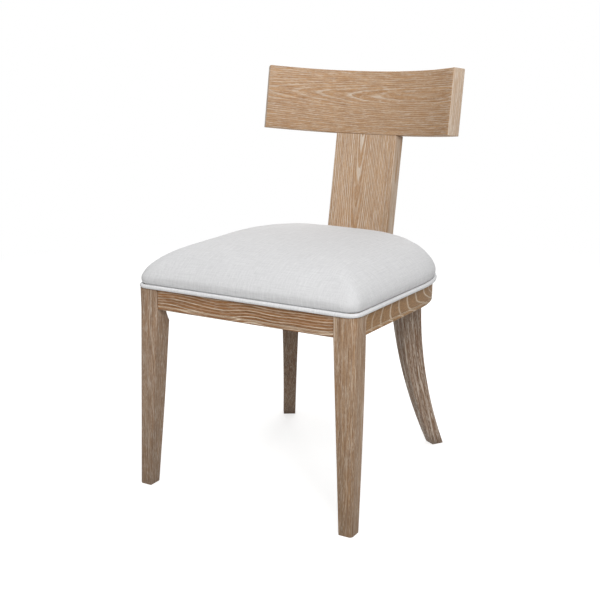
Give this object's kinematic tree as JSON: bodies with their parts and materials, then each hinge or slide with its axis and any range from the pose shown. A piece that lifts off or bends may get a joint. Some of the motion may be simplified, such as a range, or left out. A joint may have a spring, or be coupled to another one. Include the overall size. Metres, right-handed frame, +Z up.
{
  "type": "klismos dining chair",
  "caption": "Klismos dining chair in limed oak: a bent crest rail on a wide splat, sabre back legs set on the diagonal, and a crowned seat pad with a welted edge.",
  "frame": {"origin": "centre of the bounding box at floor level", "axes": "+Z up, -Y the way a sitter faces, +X towards the side that is on the right as seen from the front"},
  "size_m": [0.5308, 0.605, 0.865],
  "materials": {
    "oak": "limed oak, matt lacquer over open pores filled with pale wax",
    "hidden_wood": "planed hardwood and plywood, unfinished",
    "linen": "plain woven linen blend, off-white",
    "piping": "the same cloth, cut on the bias over cord",
    "foam": "open-cell upholstery foam with wadding",
    "cambric": "black non-woven dust cloth",
    "zinc_steel": "bright zinc plate"
  },
  "bodies": {
    "root": {"front_right_leg": "oak", "front_left_leg": "oak", "rear_right_leg": "oak", "rear_left_leg": "oak", "front_rail": "oak", "right_side_rail": "oak", "left_side_rail": "oak", "rear_rail": "oak", "back_splat": "oak", "crest_rail": "oak", "front_right_block": "hidden_wood", "front_left_block": "hidden_wood", "rear_right_block": "hidden_wood", "rear_left_block": "hidden_wood", "dust_cover": "cambric", "seat_board": "hidden_wood", "foam_pad": "foam", "seat_cover": "linen", "welt": "piping", "front_rail_right_dowel_1": "hidden_wood", "front_rail_left_dowel_1": "hidden_wood", "front_rail_right_dowel_2": "hidden_wood", "front_rail_left_dowel_2": "hidden_wood", "right_side_rail_front_dowel_1": "hidden_wood", "left_side_rail_front_dowel_1": "hidden_wood", "right_side_rail_front_dowel_2": "hidden_wood", "left_side_rail_front_dowel_2": "hidden_wood", "right_side_rail_rear_dowel_1": "hidden_wood", "left_side_rail_rear_dowel_1": "hidden_wood", "right_side_rail_rear_dowel_2": "hidden_wood", "left_side_rail_rear_dowel_2": "hidden_wood", "rear_rail_right_dowel_1": "hidden_wood", "rear_rail_left_dowel_1": "hidden_wood", "rear_rail_right_dowel_2": "hidden_wood", "rear_rail_left_dowel_2": "hidden_wood", "crest_right_dowel": "hidden_wood", "crest_left_dowel": "hidden_wood", "front_right_hanger_bolt": "zinc_steel", "front_left_hanger_bolt": "zinc_steel", "front_right_nut": "zinc_steel", "front_left_nut": "zinc_steel", "front_right_block_screw_1": "zinc_steel", "front_left_block_screw_1": "zinc_steel", "front_right_block_screw_2": "zinc_steel", "front_left_block_screw_2": "zinc_steel", "front_right_seat_screw": "zinc_steel", "front_left_seat_screw": "zinc_steel", "rear_right_hanger_bolt": "zinc_steel", "rear_left_hanger_bolt": "zinc_steel", "rear_right_nut": "zinc_steel", "rear_left_nut": "zinc_steel", "rear_right_block_screw_1": "zinc_steel", "rear_left_block_screw_1": "zinc_steel", "rear_right_block_screw_2": "zinc_steel", "rear_left_block_screw_2": "zinc_steel", "rear_right_seat_screw": "zinc_steel", "rear_left_seat_screw": "zinc_steel", "splat_right_bolt": "zinc_steel", "splat_left_bolt": "zinc_steel"}
  },
  "joints": []
}
